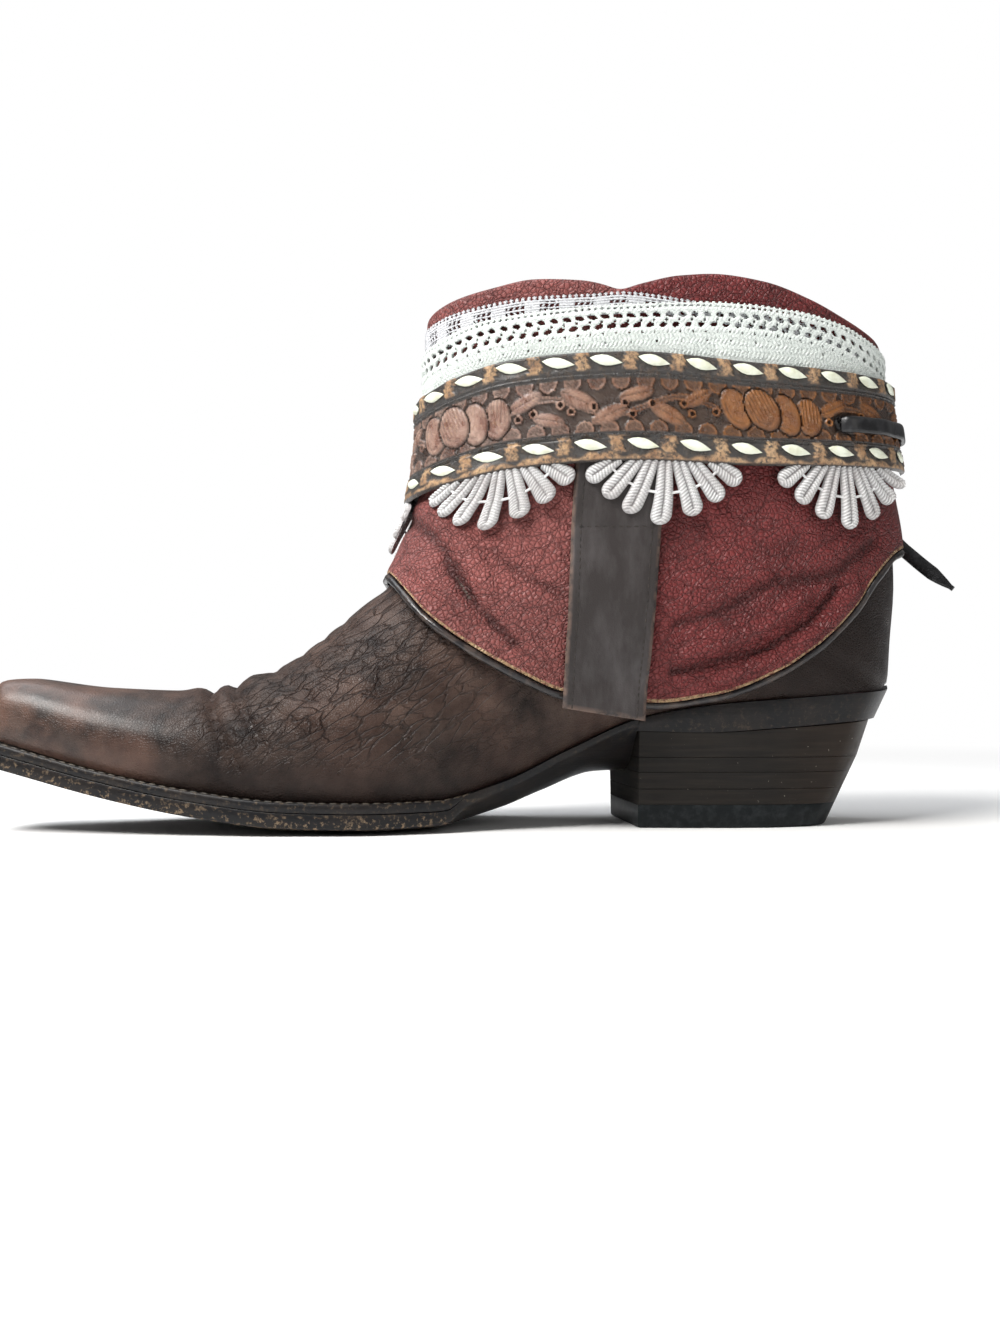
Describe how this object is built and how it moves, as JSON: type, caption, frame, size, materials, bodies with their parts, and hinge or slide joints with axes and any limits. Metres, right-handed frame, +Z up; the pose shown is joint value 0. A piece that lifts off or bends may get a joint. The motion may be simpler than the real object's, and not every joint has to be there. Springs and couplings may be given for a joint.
{
  "type": "western ankle boot",
  "caption": "Right western ankle boot with snip toe, stacked heel and turned-down leather cuff dressed with lace bands and a tooled belt tied at the back.",
  "frame": {"origin": "centre of the boot's box, at floor level, the loose end of the tie and its knot left out", "axes": "+X from the toe to the heel, -Y to the inner side of the foot, +Z up from the floor"},
  "size_m": [0.3312, 0.0918, 0.1793],
  "materials": {
    "brown_oiled_leather": "oiled, pulled-up brown leather, semi-gloss with pale creases",
    "burgundy_lining_leather": "pebbled burgundy leather, soft sheen",
    "blackened_edge_leather": "dyed and waxed edge, worn pale along its corners",
    "stacked_heel_leather": "dark stacked leather, polished side",
    "cap_rubber": "blue-black rubber, matt",
    "insole_leather": "plain tan leather, matt",
    "strap_leather": "grey-brown oiled leather with sewn edges",
    "belt_leather": "tooled and antiqued leather, worn highlights, pale lacing",
    "grey_lace": "fine cotton lace",
    "white_lace": "thick cotton crochet lace",
    "fan_lace": "corded satin-stitch lace",
    "thong_leather": "black rounded leather thong"
  },
  "bodies": {
    "root": {"outsole": "blackened_edge_leather", "welt": "blackened_edge_leather", "insole": "insole_leather", "heel_cap": "cap_rubber", "heel_lift_1": "stacked_heel_leather", "heel_lift_2": "stacked_heel_leather", "heel_lift_3": "stacked_heel_leather", "heel_lift_4": "stacked_heel_leather", "upper": "brown_oiled_leather", "cuff": "burgundy_lining_leather", "cuff_binding": "blackened_edge_leather", "pull_strap_inner": "strap_leather", "pull_strap_outer": "strap_leather", "ladder_lace": "grey_lace", "eyelet_lace": "white_lace", "belt": "belt_leather", "fan_lace": "fan_lace", "tie_bar": "thong_leather", "tie_knot": "thong_leather", "tie_end": "thong_leather"}
  },
  "joints": []
}
